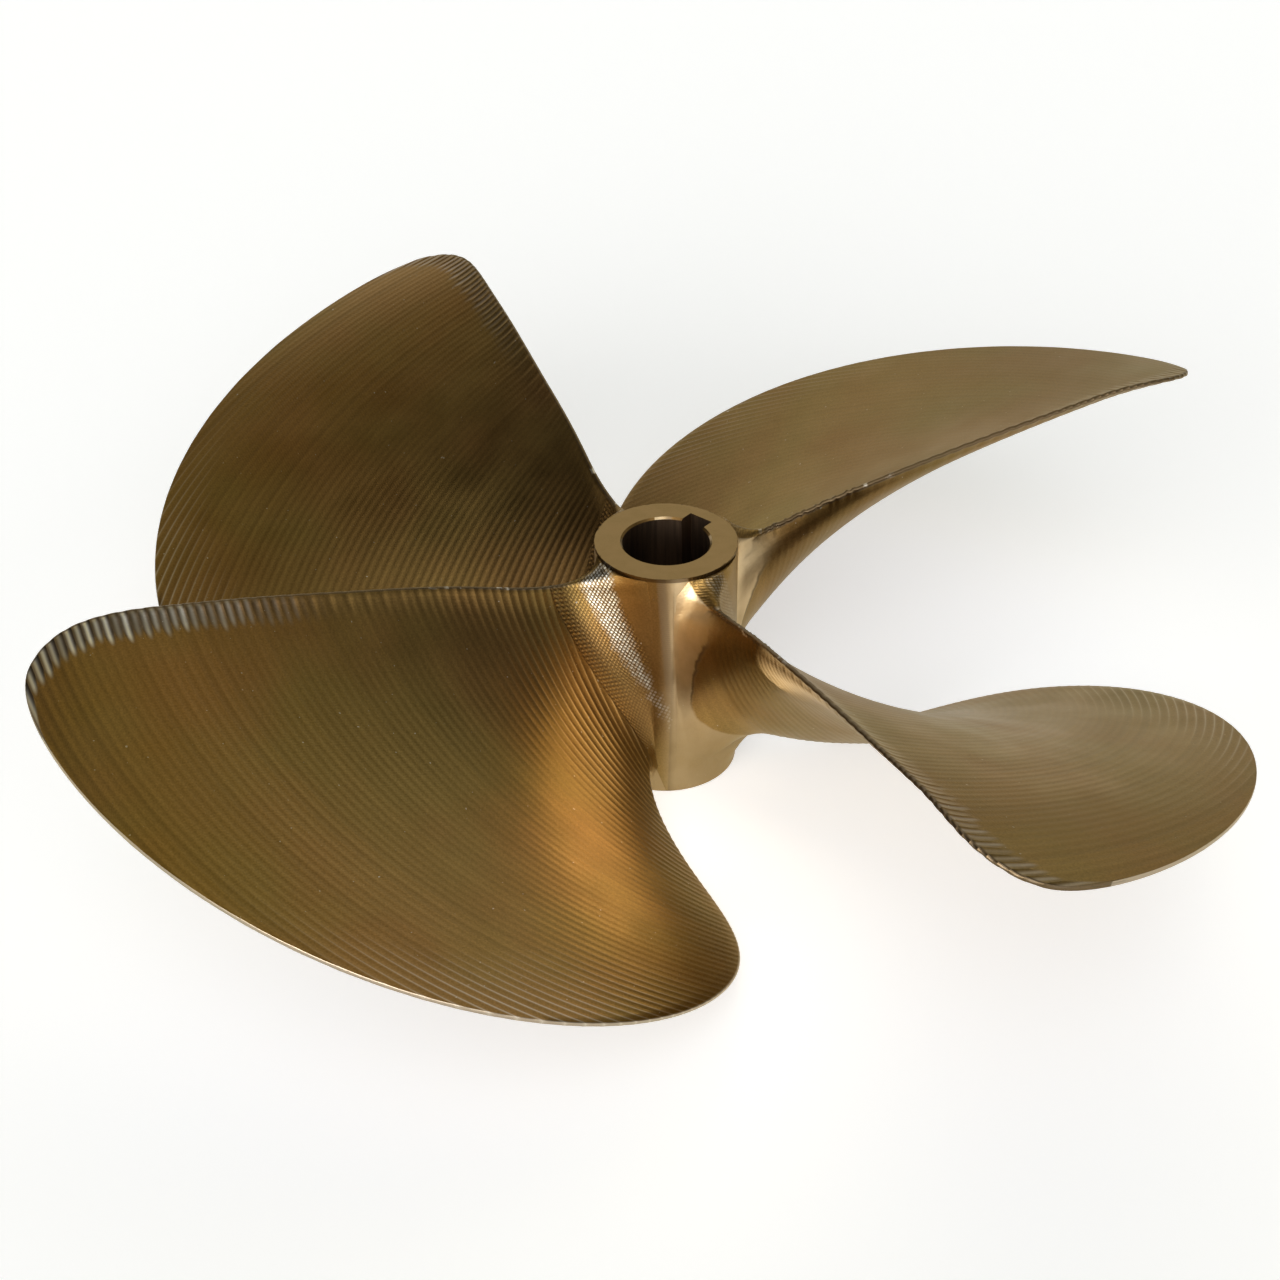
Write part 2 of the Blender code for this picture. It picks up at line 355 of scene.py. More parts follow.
def edge_cap(start, end, outward):
    """Points on the half ellipse that closes a section from one side to the other."""
    turns = [math.pi * i / (CAP_POINTS + 1) for i in range(1, CAP_POINTS + 1)]
    centre = (start + end) / 2.0
    arm = (start - end) / 2.0
    return np.array([centre + arm * math.cos(turn) + outward * math.sin(turn) for turn in turns])


def section_loop(radius, ridges, burrs):
    """One closed section on the cylinder of this radius, as points in space."""
    trailing, leading = edge_angles(radius)
    slope = math.atan2(rise_per_radian(radius), radius)
    along = np.array((math.cos(slope), -math.sin(slope)))
    normal = np.array((math.sin(slope), math.cos(slope)))
    chord = max((leading - trailing) * radius / math.cos(slope), 1e-6)
    swell = fillet_share(radius)
    cup = CUP_HEIGHT * min(1.0, (TIP_RADIUS - radius) / CUP_FADE_LENGTH)

    share = chord_shares(chord)
    angle = trailing + (leading - trailing) * share
    thickness = blade_thickness(radius, share)
    pressure, suction = fillet_widths(angle, thickness)
    near_edge = np.maximum(0.0, 1.0 - share * chord / CUP_WIDTH)
    curl = cup * near_edge ** 2 + pair_lift(radius) * near_edge
    curl += burrs * burr(radius) * near_edge ** 16
    marks = ridges * ridge(radius)
    face = np.column_stack((radius * angle, face_height(radius, angle)))
    upper = face + np.outer(curl + pressure * swell + marks, normal)
    lower = face + np.outer(curl - thickness - suction * swell - marks, normal)

    edge = EDGE_THICKNESS / 2.0
    front = edge_cap(upper[-1], lower[-1], along * (edge + LEADING_FILLET_WIDTH * swell))
    back = edge_cap(lower[0], upper[0], -along * (edge + TRAILING_FILLET_WIDTH * swell))
    loop = np.concatenate((upper, front, lower[::-1], back))
    turn = loop[:, 0] / radius
    height = np.maximum(loop[:, 1], HUB_EDGE_ROUND)
    return np.column_stack((radius * np.cos(turn), radius * np.sin(turn), height))


def station_radii():
    """Rows of the blade: over the fillet, then a fixed number in each tool pass, then the tip."""
    radii = [0.0185, 0.0212]
    for i in range(1, FILLET_ROWS):
        turn = 0.5 * math.pi * i / FILLET_ROWS
        radii.append(HUB_WAIST_RADIUS + FILLET_HEIGHT * (1.0 - math.cos(turn)))
    step = PASS_WIDTH / ROWS_PER_PASS
    count = int((TIP_RADIUS - HUB_WAIST_RADIUS - FILLET_HEIGHT) / step)
    last = TIP_RADIUS - 3.0 * step
    radii += [TIP_RADIUS - step * i for i in range(count, 3, -1)]
    for i in range(TIP_ROWS + 1):
        left = 1.0 - i / TIP_ROWS
        radii.append(TIP_RADIUS - (TIP_RADIUS - last) * left ** 2)
    return radii


def new_object(name, form):
    mesh = bpy.data.meshes.new(name)
    form.to_mesh(mesh)
    form.free()
    item = bpy.data.objects.new(name, mesh)
    bpy.context.scene.collection.objects.link(item)
    return item


def blade_form(ridges, burrs):
    """Loft the sections into one closed blade that starts inside the hub wall."""
    form = bmesh.new()
    rings = []
    for radius in station_radii():
        rings.append([form.verts.new(point) for point in section_loop(radius, ridges, burrs)])
    size = len(rings[0])
    for inner, outer in zip(rings, rings[1:]):
        for i in range(size):
            j = (i + 1) % size
            form.faces.new((inner[i], inner[j], outer[j], outer[i]))
    caps = [form.faces.new(rings[0]), form.faces.new(rings[-1])]
    bmesh.ops.triangulate(form, faces=caps)
    bmesh.ops.recalc_face_normals(form, faces=form.faces[:])
    return form


def turned_form(profile, segments=HUB_SEGMENTS):
    """Spin a half profile that starts and ends on the axis."""
    form = bmesh.new()
    points = [form.verts.new((radius, 0.0, height)) for radius, height in profile]
    edges = [form.edges.new(pair) for pair in zip(points, points[1:])]
    bmesh.ops.spin(
        form,
        geom=points + edges,
        cent=(0.0, 0.0, 0.0),
        axis=(0.0, 0.0, 1.0),
        angle=2.0 * math.pi,
        steps=segments,
        use_merge=True,
    )
    bmesh.ops.remove_doubles(form, verts=form.verts[:], dist=1e-6)
    bmesh.ops.recalc_face_normals(form, faces=form.faces[:])
    return form


def hub_profile():
    """Barrel from the forward face up to the step below the raised ring."""
    shoulder = HUB_LENGTH - RING_STEP
    return [
        (0.0, 0.0),
        (HUB_FORWARD_RADIUS - HUB_EDGE_ROUND, 0.0),
        (HUB_FORWARD_RADIUS, HUB_EDGE_ROUND),
        (HUB_WAIST_RADIUS, HUB_LENGTH / 2.0),
        (RING_RADIUS, shoulder),
        (RING_RADIUS, HUB_LENGTH),
        (0.0, HUB_LENGTH),
    ]


def facing_profile():
    """What the facing cut takes away above the hub, ring left standing."""
    top = HUB_LENGTH + 2.0 * FILLET_HEIGHT
    shoulder = HUB_LENGTH - RING_STEP
    return [
        (0.0, HUB_LENGTH),
        (RING_RADIUS, HUB_LENGTH),
        (RING_RADIUS, shoulder),
        (FACING_RADIUS, shoulder),
        (FACING_RADIUS, top),
        (0.0, top),
    ]


def bore_radius(height):
    return BORE_AFT_RADIUS + (HUB_LENGTH - height) * BORE_TAPER / 2.0


def bore_profile():
    """Tapered bore with a small chamfer at its aft end."""
    margin = 0.002
    wide = bore_radius(HUB_LENGTH) + BORE_CHAMFER
    return [
        (0.0, -margin),
        (bore_radius(-margin), -margin),
        (bore_radius(HUB_LENGTH - BORE_CHAMFER), HUB_LENGTH - BORE_CHAMFER),
        (wide, HUB_LENGTH),
        (wide, HUB_LENGTH + margin),
        (0.0, HUB_LENGTH + margin),
    ]


def keyway_form():
    """Slot whose floor stays parallel to the taper of the bore."""
    margin = 0.003
    form = bmesh.new()
    for height in (-margin, HUB_LENGTH + margin):
        depth = bore_radius(height) + KEYWAY_DEPTH
        for reach in (0.0, depth):
            for side in (-KEYWAY_WIDTH / 2.0, KEYWAY_WIDTH / 2.0):
                form.verts.new((reach, side, height))
    bmesh.ops.convex_hull(form, input=form.verts[:])
    bmesh.ops.recalc_face_normals(form, faces=form.faces[:])
    form.transform(Matrix.Rotation(math.radians(KEYWAY_AZIMUTH), 4, "Z"))
    return form


def add_boolean(item, operation, other):
    change = item.modifiers.new(f"{operation.lower()}_{other.name}", "BOOLEAN")
    change.operation = operation
    change.solver = "MANIFOLD"
    change.object = other


def milled_propeller():
    """The whole casting as one closed mesh, with the ridges of the tool passes in it."""
    hub = new_object("milled_propeller", turned_form(hub_profile()))
    helpers = []
    for number, (ridges, burrs) in enumerate(zip(BLADE_RIDGES, BLADE_BURRS)):
        blade = new_object(f"blade_guide_{number}", blade_form(ridges, burrs))
        helpers.append(blade)
        turn = FIRST_BLADE_AZIMUTH + 360.0 * number / BLADE_COUNT
        blade.rotation_euler = (0.0, 0.0, math.radians(turn))
        add_boolean(hub, "UNION", blade)
    cutters = (
        ("facing_cutter", turned_form(facing_profile())),
        ("bore_cutter", turned_form(bore_profile())),
        ("keyway_cutter", keyway_form()),
    )
    for name, form in cutters:
        cutter = new_object(name, form)
        helpers.append(cutter)
        add_boolean(hub, "DIFFERENCE", cutter)
    bpy.context.view_layer.update()
    seen = hub.evaluated_get(bpy.context.evaluated_depsgraph_get())
    whole = bpy.data.meshes.new_from_object(seen)
    hub.modifiers.clear()
    hub.data = whole
    for item in helpers:
        bpy.data.objects.remove(item, do_unlink=True)
    whole.shade_smooth()
    whole.set_sharp_from_angle(angle=math.radians(35.0))
    return hub


class Nodes:
    """Short ways to add shader nodes and links to one tree."""

    def __init__(self, tree):
        self.tree = tree

    def add(self, kind, **values):
        node = self.tree.nodes.new(kind)
        for name, value in values.items():
            setattr(node, name, value)
        return node

    def put(self, socket, value):
        if isinstance(value, bpy.types.NodeSocket):
            self.tree.links.new(value, socket)
        else:
            socket.default_value = value

    def math(self, operation, first, second=0.0, third=0.0, clamp=False):
        node = self.add("ShaderNodeMath", operation=operation, use_clamp=clamp)
        self.put(node.inputs[0], first)
        self.put(node.inputs[1], second)
        self.put(node.inputs[2], third)
        return node.outputs[0]

    def vector(self, operation, first, second=(0.0, 0.0, 0.0), factor=1.0):
        node = self.add("ShaderNodeVectorMath", operation=operation)
        self.put(node.inputs[0], first)
        self.put(node.inputs[1], second)
        self.put(node.inputs[3], factor)
        return node

    def sum(self, first, second):
        return self.vector("ADD", first, second).outputs["Vector"]

    def scale(self, value, factor):
        return self.vector("SCALE", value, factor=factor).outputs["Vector"]

    def dot(self, first, second):
        return self.vector("DOT_PRODUCT", first, second).outputs["Value"]

    def length(self, value):
        return self.vector("LENGTH", value).outputs["Value"]

    def span(self, value, low, high, start=0.0, end=1.0, smooth=False):
        node = self.add("ShaderNodeMapRange")
        node.interpolation_type = "SMOOTHSTEP" if smooth else "LINEAR"
        self.put(node.inputs["Value"], value)
        self.put(node.inputs["From Min"], low)
        self.put(node.inputs["From Max"], high)
        self.put(node.inputs["To Min"], start)
        self.put(node.inputs["To Max"], end)
        return node.outputs["Result"]

    def mix(self, share, first, second):
        node = self.add("ShaderNodeMix", data_type="RGBA")
        self.put(node.inputs["Factor"], share)
        self.put(node.inputs["A"], first)
        self.put(node.inputs["B"], second)
        return node.outputs["Result"]

    def product(self, *values):
        total = values[0]
        for value in values[1:]:
            total = self.math("MULTIPLY", total, value)
        return total

    def split(self, value, axis):
        node = self.add("ShaderNodeSeparateXYZ")
        self.put(node.inputs[0], value)
        return node.outputs[axis]

    def attribute(self, name):
        return self.add("ShaderNodeAttribute", attribute_name=name).outputs["Fac"]

    def bump(self, height):
        node = self.add("ShaderNodeBump")
        node.inputs["Strength"].default_value = 1.0
        node.inputs["Distance"].default_value = 1.0
        self.put(node.inputs["Height"], height)
        return node.outputs["Normal"]

    def noise(self, place, scale, detail=3.0, roughness=0.5):
        node = self.add("ShaderNodeTexNoise")
        self.put(node.inputs["Vector"], place)
        node.inputs["Scale"].default_value = scale
        node.inputs["Detail"].default_value = detail
        node.inputs["Roughness"].default_value = roughness
        return node.outputs["Fac"]


def blade_place(nodes):
    """Where a point of the surface lies: sockets that every finish below reads."""
    position = nodes.add("ShaderNodeTexCoord").outputs["Object"]
    flat = nodes.vector("MULTIPLY", position, (1.0, 1.0, 0.0)).outputs["Vector"]
    radius = nodes.length(flat)
    count = nodes.math("DIVIDE", nodes.math("SUBTRACT", TIP_RADIUS, radius), PASS_WIDTH)
    middle = nodes.math("MULTIPLY_ADD", nodes.math("FRACT", count), 2.0, -1.0)
    angle = nodes.attribute("blade_angle")
    face = nodes.attribute("above_face")
    border = nodes.math("MULTIPLY_ADD", angle, ROOT_BORDER_SLOPE, ROOT_BORDER_RADIUS)
    outward = nodes.math("SUBTRACT", nodes.math("SUBTRACT", radius, HUB_WAIST_RADIUS), face)
    band = nodes.math("MULTIPLY_ADD", angle, -0.000125, -0.0012)
    above = nodes.span(face, -0.0007, -0.0003)
    inward = nodes.math("SUBTRACT", border, radius)
    return SimpleNamespace(
        position=position,
        radius=radius,
        height=nodes.split(position, 2),
        number=nodes.math("FLOOR", count),
        ridge=nodes.math("POWER", nodes.math("ABSOLUTE", middle), 2.0),
        angle=angle,
        above=above,
        inward=inward,
        root=nodes.product(nodes.span(inward, -0.0001, 0.0002), above),
        outward=outward,
        from_band=nodes.math("SUBTRACT", outward, band),
        trailing=nodes.attribute("from_trailing"),
        leading=nodes.attribute("from_leading"),
        along=nodes.attribute("along_root"),
        # Per-blade weight of the painted highlights, and per-blade painted shade at the root
        fresh_and_highlight=nodes.attribute("freshness_and_highlight"),
        root_painted_shade=nodes.attribute("root_painted_shade"),
        contrast=nodes.attribute("pass_contrast"),
    )


def pass_random(nodes, place, seed):
    """One steady random value from 0 to 1 for each tool pass."""
    node = nodes.add("ShaderNodeTexWhiteNoise", noise_dimensions="1D")
    nodes.put(node.inputs["W"], nodes.math("ADD", place.number, seed))
    return node.outputs["Value"]


def cup_zone(nodes, place):
    """Short cuts across the cup at the trailing edge; each ends at its own length."""
    length = nodes.math("MULTIPLY_ADD", pass_random(nodes, place, 3.0), 0.0022, CUP_MARK_LENGTH)
    round_end = nodes.math("MULTIPLY", place.ridge, 0.0016)
    left = nodes.math("SUBTRACT", nodes.math("SUBTRACT", length, round_end), place.trailing)
    reach = nodes.span(left, -0.0010, 0.0026, smooth=True)
    outer = nodes.span(place.radius, 0.100, 0.165, smooth=True)
    return nodes.product(reach, outer, place.above)


def scale_pattern(nodes, place):
    """Rows of small round hollows, half a step apart, from 0 between them to 1 on them."""
    down = nodes.math("MULTIPLY", place.along, math.pi / SCALE_LENGTH)
    over = nodes.math("MULTIPLY", place.outward, math.pi / SCALE_WIDTH)
    one = nodes.math("ABSOLUTE", nodes.math("COSINE", nodes.math("ADD", down, over)))
    two = nodes.math("ABSOLUTE", nodes.math("COSINE", nodes.math("SUBTRACT", down, over)))
    return nodes.product(one, two)


def scaled_part(nodes, place):
    """Where the scales are: the hub side of the fillet was left smooth, and so was its end."""
    smooth_end = nodes.span(place.angle, 62.0, 40.0, smooth=True)
    return nodes.product(nodes.span(place.from_band, -0.0050, -0.0025, smooth=True), smooth_end)


def wave(nodes, value, length):
    """A round wave from 0 to 1 along a distance."""
    turn = nodes.math("MULTIPLY", value, 2.0 * math.pi / length)
    return nodes.math("MULTIPLY_ADD", nodes.math("COSINE", turn), 0.5, 0.5)


def comb_zone(nodes, place):
    """Short cuts just inside the border, on the blade's side of the fillet."""
    near_border = nodes.span(place.inward, 0.0060, 0.0035)
    off_hub = nodes.span(place.radius, 0.0226, 0.0245)
    early = nodes.span(place.angle, 48.0, 28.0, smooth=True)
    return nodes.product(near_border, off_hub, early, place.root)


def painted_silver_band(nodes, place):
    """Painted silver highlight on the scales down the middle of the fillet, narrower towards its end,
    broken into sparkles.
    """
    edge = nodes.math("MULTIPLY_ADD", nodes.noise(place.position, 400.0), 0.004, -0.002)
    width = nodes.math("MULTIPLY_ADD", place.angle, -0.00013, 0.0072)
    width = nodes.math("MAXIMUM", width, 0.0010)
    off = nodes.math("ABSOLUTE", place.from_band)
    left = nodes.math("SUBTRACT", nodes.math("SUBTRACT", width, off), edge)
    band = nodes.span(left, -0.0012, 0.0020, smooth=True)
    spark = nodes.span(nodes.noise(place.position, 520.0), 0.36, 0.58, 0.35, 1.0)
    return nodes.product(band, spark, nodes.span(place.angle, 2.0, 6.0), place.root)


def edge_zones(nodes, place):
    """The narrow rims between the two broad sides, at the trailing and the leading edge."""
    outside = nodes.span(place.radius, 0.030, 0.034)
    behind = nodes.product(outside, nodes.span(place.trailing, 0.0004, 0.0001))
    ahead = nodes.product(outside, nodes.span(place.leading, 0.0003, 0.0))
    return behind, ahead


def hub_land(nodes, place):
    """Pale part of the hub wall, where the painted light goes, and how near its scalloped border with the
    next blade's back is.
    """
    bow = nodes.math("POWER", nodes.math("MULTIPLY_ADD", place.height, 96.0, -4.04), 2.0)
    low = nodes.math("MAXIMUM", nodes.math("MULTIPLY_ADD", place.height, -374.0, 12.0), 0.0)
    border = nodes.math("ADD", bow, nodes.math("MULTIPLY_ADD", low, low, -8.0))
    ragged = nodes.math("MULTIPLY_ADD", nodes.noise(place.position, 300.0), 2.4, -1.2)
    left = nodes.math("SUBTRACT", nodes.math("ADD", border, ragged), place.angle)
    below = nodes.math("SUBTRACT", 1.0, place.above)
    land = nodes.product(nodes.span(left, -1.5, 1.5, smooth=True), below)
    land = nodes.math("MAXIMUM", land, nodes.span(place.angle, 56.0, 73.0, smooth=True))
    land = nodes.product(land, nodes.span(place.radius, 0.042, 0.027, smooth=True))
    line = nodes.span(nodes.math("ABSOLUTE", left), 0.9, 0.2)
    line = nodes.product(line, below, nodes.span(place.height, 0.030, 0.036))
    line = nodes.product(line, nodes.span(place.radius, 0.034, 0.030))
    return land, line


def step_zone(nodes, place):
    """The rough side of the raised ring."""
    off = nodes.math("ABSOLUTE", nodes.math("SUBTRACT", place.radius, RING_RADIUS))
    ragged = nodes.math("MULTIPLY_ADD", nodes.noise(place.position, 700.0), 0.0005, 0.0001)
    close = nodes.span(nodes.math("SUBTRACT", ragged, off), -0.0001, 0.0001)
    return nodes.product(close, nodes.span(place.height, 0.0749, 0.0751))


def strip_zone(nodes, place):
    """The bare strip of the hub wall between two blades, which fades downwards."""
    centre = nodes.math("MULTIPLY_ADD", place.height, -200.0, HUB_STRIP_ANGLE + 13.4)
    off = nodes.math("ABSOLUTE", nodes.math("SUBTRACT", place.angle, centre))
    narrow = nodes.span(off, 5.0, 2.0, smooth=True)
    high = nodes.span(place.height, 0.026, 0.042)
    return nodes.product(narrow, high, nodes.span(place.radius, 0.0228, 0.0221))


def base_colour(nodes, place):
    """Golden bronze with patches, fine grain and a little change from pass to pass, with painted shade in
    the valleys and painted light on the crests of the passes, painted shade at the roots of two blades,
    and painted shade on the undersides that turns into painted light near the hub.
    """
    patches = nodes.noise(place.position, 22.0, detail=2.0)
    colour = nodes.mix(nodes.span(patches, 0.35, 0.65), BRONZE_RED, BRONZE_OLIVE)
    grain = nodes.noise(place.position, 1800.0, detail=2.0)
    tone = nodes.span(grain, 0.3, 0.7, 0.86, 1.14)
    cut = nodes.math("MULTIPLY_ADD", pass_random(nodes, place, 0.0), 0.14, -0.07)
    # Painted shade in the valleys of the passes and painted light on their crests
    line = nodes.math("MULTIPLY_ADD", place.ridge, 0.10, -0.03)
    plain = nodes.math("SUBTRACT", 1.0, place.root)
    pass_tone_and_shade = nodes.product(nodes.math("ADD", cut, line), plain, place.contrast)
    # Painted shade near the root of the pressure face, on the blades that have it
    painted_root_shade_tone = nodes.span(place.radius, 0.042, 0.080, place.root_painted_shade, 1.0, smooth=True)
    # Painted shade on the undersides, with painted light on them near the hub
    below = nodes.span(place.radius, 0.028, 0.046, UNDERSIDE_ROOT_PAINTED_LIGHT, UNDERSIDE_PAINTED_SHADE, smooth=True)
    side = nodes.math("MULTIPLY_ADD", place.above, nodes.math("SUBTRACT", painted_root_shade_tone, below), below)
    side = nodes.math("MAXIMUM", side, place.root)
    return nodes.scale(colour, nodes.product(tone, nodes.math("ADD", pass_tone_and_shade, 1.0), side))


def crest_colour(nodes, place, colour):
    """Painted highlights on the crests: golden near the root of the blade with the strongest painted
    highlights, pale near the tip.
    """
    plain = nodes.math("SUBTRACT", 1.0, place.root)
    near_root = nodes.product(nodes.span(place.radius, 0.066, 0.048), plain, place.above)
    # Painted golden highlight on the crests near the root
    painted_gold_light = nodes.product(near_root, nodes.math("POWER", place.ridge, 2.5), place.fresh_and_highlight)
    painted_gold_light = nodes.product(painted_gold_light, nodes.span(place.angle, 8.0, 25.0), 0.75)
    colour = nodes.mix(painted_gold_light, colour, GOLD_CREST_HIGHLIGHT)
    outer = nodes.product(nodes.span(place.radius, 0.12, 0.14), nodes.span(place.radius, 0.180, 0.166))
    outer = nodes.product(outer, nodes.span(place.leading, 0.045, 0.010), place.contrast)
    # Painted pale highlight on the crests near the tip
    crest = nodes.product(outer, nodes.math("POWER", place.ridge, 3.0), 0.5)
    return nodes.mix(crest, colour, FRESH_CUT_AND_HIGHLIGHT)


def cup_colour(nodes, place, cup, colour):
    """Painted highlights: a narrow silver column in each pass, with painted shade of dull metal between
    them.
    """
    bright = nodes.math("POWER", nodes.math("SUBTRACT", 1.0, place.ridge), 4.0)
    lift = nodes.math("MULTIPLY_ADD", pass_random(nodes, place, 7.0), 0.8, 0.2)
    column = nodes.mix(nodes.product(bright, lift), DULL_CUT_AND_SHADE, CUP_HIGHLIGHT)
    return nodes.mix(nodes.product(cup, place.fresh_and_highlight), colour, column)


def root_colour(nodes, place, scale, colour):
    """Painted shade in the gaps between the cuts of the fillet, a dark line along its border, and the
    painted silver highlight on the scales.
    """
    low = nodes.math("SUBTRACT", 1.0, wave(nodes, place.along, COMB_STEP))
    comb = nodes.product(comb_zone(nodes, place), low)
    # Painted shade in the grooves between the short cuts
    colour = nodes.mix(nodes.product(comb, 0.75), colour, BRONZE_DARK)
    # Painted shade on the rims between the scales, stronger on blades with more painted highlight
    gap_shade_weight = nodes.math("MULTIPLY_ADD", place.fresh_and_highlight, 0.35, 0.15)
    gap = nodes.product(place.root, scaled_part(nodes, place), nodes.span(scale, 0.6, 0.1), gap_shade_weight)
    colour = nodes.mix(gap, colour, BRONZE_DARK)
    # Painted silver highlight in the hollows of the scales, with painted shade on the rims between them
    fresh_and_highlight = nodes.mix(nodes.span(scale, 0.15, 0.7), DULL_CUT_AND_SHADE, SILVER_HIGHLIGHT)
    colour = nodes.mix(nodes.product(painted_silver_band(nodes, place), place.fresh_and_highlight), colour, fresh_and_highlight)
    border = nodes.span(nodes.math("ABSOLUTE", place.inward), 0.0004, 0.0001)
    return nodes.mix(nodes.product(border, place.above, 0.5), colour, BRONZE_DARK)


def hub_colour(nodes, place, colour):
    """Pale land that is painted light, brighter higher up the hub, brown strip with turned marks, and the
    dark side of the raised ring.
    """
    land, line = hub_land(nodes, place)
    cloud = nodes.span(nodes.noise(place.position, 130.0, detail=4.0), 0.3, 0.7, 0.65, 1.0)
    # Painted light on the land, brighter higher up the hub
    painted_gold_light = nodes.mix(nodes.span(place.height, 0.012, 0.056, smooth=True), LAND_PAINTED_LIGHT_LOW, LAND_PAINTED_LIGHT_HIGH)
    colour = nodes.mix(nodes.product(land, cloud), colour, painted_gold_light)
    colour = nodes.mix(nodes.product(line, 0.6), colour, BRONZE_DARK)
    turned = nodes.math("MULTIPLY_ADD", wave(nodes, place.height, STRIP_MARK_STEP), 0.25, 0.45)
    colour = nodes.mix(nodes.product(strip_zone(nodes, place), turned), colour, STRIP_BROWN)
    return nodes.mix(nodes.product(step_zone(nodes, place), 0.7), colour, BRONZE_DARK)


def rim_colour(nodes, place, colour):
    """Dull trailing rim with a few bright nicks near the root, and a paler leading rim that is a painted
    highlight.
    """
    specks = nodes.span(nodes.noise(place.position, 800.0, detail=1.0), 0.78, 0.81)
    colour = nodes.mix(nodes.product(specks, 0.5), colour, FRESH_CUT_AND_HIGHLIGHT)
    behind, ahead = edge_zones(nodes, place)
    nicks = nodes.span(nodes.noise(place.position, 240.0), 0.60, 0.65)
    nicks = nodes.product(nicks, nodes.span(place.radius, 0.080, 0.064))
    colour = nodes.mix(nodes.product(behind, 0.8), colour, nodes.mix(nicks, DULL_CUT_AND_SHADE, FRESH_CUT_AND_HIGHLIGHT))
    # Painted highlight on the leading rim
    return nodes.mix(nodes.product(ahead, 0.4), colour, FRESH_CUT_AND_HIGHLIGHT)


def blade_relief(nodes, place, cup, scale):
    """Height of the fine marks in metres, for the bump."""
    plain = nodes.math("SUBTRACT", 1.0, place.root)
    hollows = nodes.product(scale, scaled_part(nodes, place), place.root, -SCALE_DEPTH)
    comb = nodes.product(comb_zone(nodes, place), wave(nodes, place.along, COMB_STEP), COMB_DEPTH)
    columns = nodes.product(cup, place.ridge, CUP_MARK_DEPTH)
    feed = nodes.product(wave(nodes, place.trailing, FEED_STEP), plain, FEED_DEPTH)
    grain = nodes.product(nodes.noise(place.position, 1400.0, detail=1.0), GRAIN_DEPTH)
    deeper = nodes.product(place.ridge, plain, nodes.span(place.radius, 0.080, 0.050), place.fresh_and_highlight)
    total = nodes.math("MULTIPLY_ADD", deeper, ROOT_LINE_DEPTH, grain)
    for part in (hollows, comb, columns, feed):
        total = nodes.math("ADD", total, part)
    return total


def metal(name):
    """A new metal material, its node helper and its shader."""
    material = bpy.data.materials.new(name)
    material.use_nodes = True
    shader = material.node_tree.nodes["Principled BSDF"]
    shader.inputs["Metallic"].default_value = 1.0
    shader.inputs["Specular Tint"].default_value = EDGE_TINT
    return material, Nodes(material.node_tree), shader


def blade_bronze():
    material, nodes, shader = metal("milled_bronze")
    place = blade_place(nodes)
    cup = cup_zone(nodes, place)
    scale = scale_pattern(nodes, place)
    colour = base_colour(nodes, place)
    colour = crest_colour(nodes, place, colour)
    colour = cup_colour(nodes, place, cup, colour)
    colour = root_colour(nodes, place, scale, colour)
    colour = hub_colour(nodes, place, colour)
    colour = rim_colour(nodes, place, colour)
    nodes.put(shader.inputs["Base Color"], colour)
    smudge = nodes.noise(place.position, 60.0, detail=4.0)
    nodes.put(shader.inputs["Roughness"], nodes.span(smudge, 0.3, 0.7, 0.33, 0.41))
    nodes.put(shader.inputs["Normal"], nodes.bump(blade_relief(nodes, place, cup, scale)))
    return material


def ring_bronze():
    """Turned aft face: fine rings, a cloudy matte skin, and a rough dark rim."""
    material, nodes, shader = metal("turned_bronze")
    position = nodes.add("ShaderNodeTexCoord").outputs["Object"]
    radius = nodes.length(nodes.vector("MULTIPLY", position, (1.0, 1.0, 0.0)).outputs["Vector"])
    cloud = nodes.noise(position, 240.0, detail=4.0)
    colour = nodes.mix(nodes.span(cloud, 0.35, 0.65), RING_DARK, RING_LIGHT)
    turned = nodes.math("MULTIPLY_ADD", wave(nodes, radius, RING_MARK_STEP), 0.10, 0.95)
    colour = nodes.scale(colour, turned)
    ragged = nodes.math("MULTIPLY_ADD", nodes.noise(position, 700.0), -0.0014, radius)
    chipped = nodes.span(ragged, RING_RADIUS - 0.0009, RING_RADIUS - 0.0006)
    colour = nodes.mix(nodes.product(chipped, 0.8), colour, BRONZE_DARK)
    nodes.put(shader.inputs["Base Color"], colour)
    nodes.put(shader.inputs["Roughness"], nodes.span(cloud, 0.3, 0.7, 0.34, 0.46))
    marks = nodes.product(wave(nodes, radius, RING_MARK_STEP), 0.000006)
    grain = nodes.product(nodes.noise(position, 1600.0), 0.00003)
    nodes.put(shader.inputs["Normal"], nodes.bump(nodes.math("ADD", marks, grain)))
    return material


def bore_bronze():
    """Dark reamed bore with faint upright streaks."""
    material, nodes, shader = metal("bore_bronze")
    position = nodes.add("ShaderNodeTexCoord").outputs["Object"]
    stretched = nodes.vector("MULTIPLY", position, (1.0, 1.0, 0.04)).outputs["Vector"]
    streak = nodes.noise(stretched, 900.0, detail=3.0)
    nodes.put(shader.inputs["Base Color"], nodes.mix(nodes.span(streak, 0.35, 0.7), BORE_DARK, BORE_LIGHT))
    shader.inputs["Roughness"].default_value = 0.42
    nodes.put(shader.inputs["Normal"], nodes.bump(nodes.product(streak, 0.00003)))
    return material


